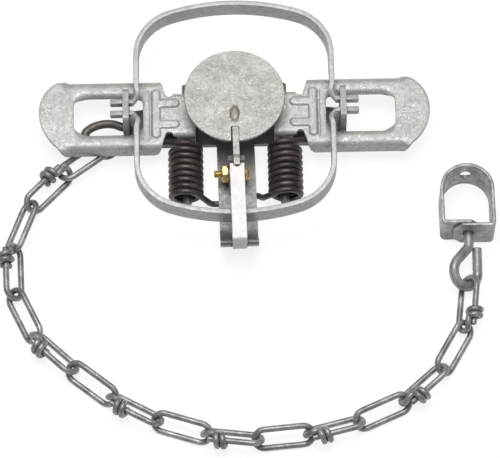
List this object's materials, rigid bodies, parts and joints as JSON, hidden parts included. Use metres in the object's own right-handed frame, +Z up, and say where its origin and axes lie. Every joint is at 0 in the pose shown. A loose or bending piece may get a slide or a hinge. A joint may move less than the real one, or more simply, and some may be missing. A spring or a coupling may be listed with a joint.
{
  "type": "foothold trap",
  "caption": "Coil-spring foothold trap in the set position: hinged jaws held open by a dog over a round pan, slotted spring levers, link chain and swivel",
  "frame": {"origin": "on the ground under the middle of the base bar", "axes": "+X along the levers to the right, -Y to the dog, +Z up"},
  "size_m": [0.2608, 0.2481, 0.0338],
  "materials": {
    "galvanised": "hot-dip galvanised, dull speckle",
    "jaw_steel": "plain steel bar, bright edges",
    "frame_steel": "plain steel, darkened",
    "dog_steel": "bright plated steel",
    "spring_steel": "dark oiled spring wire",
    "pin_steel": "plain steel rod",
    "brass": "plain brass",
    "chain_steel": "dull galvanised wire",
    "hook_steel": "steel wire with a little rust",
    "swivel_steel": "dull galvanised strip and rod"
  },
  "bodies": {
    "frame": {"base_frame": "frame_steel", "crosspiece": "frame_steel", "frame_rivets": "frame_steel", "pan_bracket": "frame_steel", "pan_screw": "brass", "pan_nut": "brass", "chain_hook": "hook_steel"},
    "front_jaw": {"front_jaw": "jaw_steel"},
    "rear_jaw": {"rear_jaw": "jaw_steel"},
    "dog": {"dog": "dog_steel"},
    "pan": {"pan_plate": "galvanised", "pan_shank": "dog_steel"},
    "left_lever": {"left_lever": "galvanised", "left_spring_pin": "pin_steel", "left_spring": "spring_steel"},
    "right_lever": {"right_lever": "galvanised", "right_spring_pin": "pin_steel", "right_spring": "spring_steel"},
    "link_01": {"chain_link_01": "chain_steel"},
    "link_02": {"chain_link_02": "chain_steel"},
    "link_03": {"chain_link_03": "chain_steel"},
    "link_04": {"chain_link_04": "chain_steel"},
    "link_05": {"chain_link_05": "chain_steel"},
    "link_06": {"chain_link_06": "chain_steel"},
    "link_07": {"chain_link_07": "chain_steel"},
    "link_08": {"chain_link_08": "chain_steel"},
    "link_09": {"chain_link_09": "chain_steel"},
    "link_10": {"chain_link_10": "chain_steel"},
    "link_11": {"chain_link_11": "chain_steel"},
    "link_12": {"chain_link_12": "chain_steel"},
    "link_13": {"chain_link_13": "chain_steel"},
    "link_14": {"chain_link_14": "chain_steel"},
    "link_15": {"chain_link_15": "chain_steel"},
    "link_16": {"chain_link_16": "chain_steel"},
    "swivel_eye": {"swivel_eye": "swivel_steel"},
    "swivel_strap": {"swivel_strap": "swivel_steel"}
  },
  "joints": [
    {"name": "front_jaw_hinge", "type": "hinge", "parent": "frame", "child": "front_jaw", "pos_m": [0, -0.0033, 0.0255], "axis": [-1, 0, 0], "range_deg": [0, 86]},
    {"name": "rear_jaw_hinge", "type": "hinge", "parent": "frame", "child": "rear_jaw", "pos_m": [0, 0.0033, 0.0255], "axis": [1, 0, 0], "range_deg": [0, 86]},
    {"name": "dog_hinge", "type": "hinge", "parent": "frame", "child": "dog", "pos_m": [0, -0.0768, 0.022], "axis": [1, 0, 0], "range_deg": [0, 193.5]},
    {"name": "left_lever_hinge", "type": "hinge", "parent": "frame", "child": "left_lever", "pos_m": [-0.0255, 0, 0.0095], "axis": [0, 1, 0], "range_deg": [0, 29.24], "deforming": ["left_spring"]},
    {"name": "right_lever_hinge", "type": "hinge", "parent": "frame", "child": "right_lever", "pos_m": [0.0255, 0, 0.0095], "axis": [0, -1, 0], "range_deg": [0, 29.24], "deforming": ["right_spring"]},
    {"name": "pan_tilt", "type": "hinge", "parent": "frame", "child": "pan", "pos_m": [0, -0.034, 0.015], "axis": [-1, 0, 0], "range_deg": [0, 6]},
    {"name": "link_01_hinge", "type": "hinge", "parent": "frame", "child": "link_01", "pos_m": [-0.07005, -0.01284, 0.00528], "axis": [0, 0, 1], "range_deg": [-15, 0]},
    {"name": "link_02_hinge", "type": "hinge", "parent": "link_01", "child": "link_02", "pos_m": [-0.09011, -0.02741, 0.00528], "axis": [0, 0, 1], "range_deg": [-25, 0]},
    {"name": "link_03_hinge", "type": "hinge", "parent": "link_02", "child": "link_03", "pos_m": [-0.1079, -0.04583, 0.00528], "axis": [0, 0, 1], "range_deg": [-25, 0]},
    {"name": "link_04_hinge", "type": "hinge", "parent": "link_03", "child": "link_04", "pos_m": [-0.11736, -0.07047, 0.00528], "axis": [0, 0, 1], "range_deg": [-25, 0]},
    {"name": "link_05_hinge", "type": "hinge", "parent": "link_04", "child": "link_05", "pos_m": [-0.11643, -0.09686, 0.00528], "axis": [0, 0, 1], "range_deg": [-25, 0]},
    {"name": "link_06_hinge", "type": "hinge", "parent": "link_05", "child": "link_06", "pos_m": [-0.10528, -0.12079, 0.00528], "axis": [0, 0, 1], "range_deg": [-25, 0]},
    {"name": "link_07_hinge", "type": "hinge", "parent": "link_06", "child": "link_07", "pos_m": [-0.08629, -0.13912, 0.00528], "axis": [0, 0, 1], "range_deg": [-25, 0]},
    {"name": "link_08_hinge", "type": "hinge", "parent": "link_07", "child": "link_08", "pos_m": [-0.06577, -0.15574, 0.00528], "axis": [0, 0, 1], "range_deg": [-25, 0]},
    {"name": "link_09_hinge", "type": "hinge", "parent": "link_08", "child": "link_09", "pos_m": [-0.04268, -0.16854, 0.00528], "axis": [0, 0, 1], "range_deg": [-25, 0]},
    {"name": "link_10_hinge", "type": "hinge", "parent": "link_09", "child": "link_10", "pos_m": [-0.01757, -0.17669, 0.00528], "axis": [0, 0, 1], "range_deg": [-25, 0]},
    {"name": "link_11_hinge", "type": "hinge", "parent": "link_10", "child": "link_11", "pos_m": [0.00863, -0.17991, 0.00528], "axis": [0, 0, 1], "range_deg": [-25, 0]},
    {"name": "link_12_hinge", "type": "hinge", "parent": "link_11", "child": "link_12", "pos_m": [0.03493, -0.17761, 0.00528], "axis": [0, 0, 1], "range_deg": [-25, 0]},
    {"name": "link_13_hinge", "type": "hinge", "parent": "link_12", "child": "link_13", "pos_m": [0.06055, -0.17122, 0.00528], "axis": [0, 0, 1], "range_deg": [-25, 0]},
    {"name": "link_14_hinge", "type": "hinge", "parent": "link_13", "child": "link_14", "pos_m": [0.08466, -0.16049, 0.00528], "axis": [0, 0, 1], "range_deg": [-25, 0]},
    {"name": "link_15_hinge", "type": "hinge", "parent": "link_14", "child": "link_15", "pos_m": [0.10428, -0.14282, 0.00528], "axis": [0, 0, 1], "range_deg": [-25, 0]},
    {"name": "link_16_hinge", "type": "hinge", "parent": "link_15", "child": "link_16", "pos_m": [0.11748, -0.11996, 0.00528], "axis": [0, 0, 1], "range_deg": [-25, 0]},
    {"name": "swivel_eye_hinge", "type": "hinge", "parent": "link_16", "child": "swivel_eye", "pos_m": [0.12066, -0.0941, 0.00528], "axis": [0, 0, 1], "range_deg": [-25, 0]},
    {"name": "swivel_spin", "type": "hinge", "parent": "swivel_eye", "child": "swivel_strap", "pos_m": [0.12066, -0.06953, 0.0119], "axis": [0, 1, 0], "continuous": true}
  ],
  "couplings": [
    {"joint": "rear_jaw_hinge", "follows": "front_jaw_hinge", "ratio": 1},
    {"joint": "dog_hinge", "follows": "front_jaw_hinge", "ratio": 2.25},
    {"joint": "left_lever_hinge", "follows": "front_jaw_hinge", "ratio": 0.34},
    {"joint": "right_lever_hinge", "follows": "front_jaw_hinge", "ratio": 0.34}
  ]
}
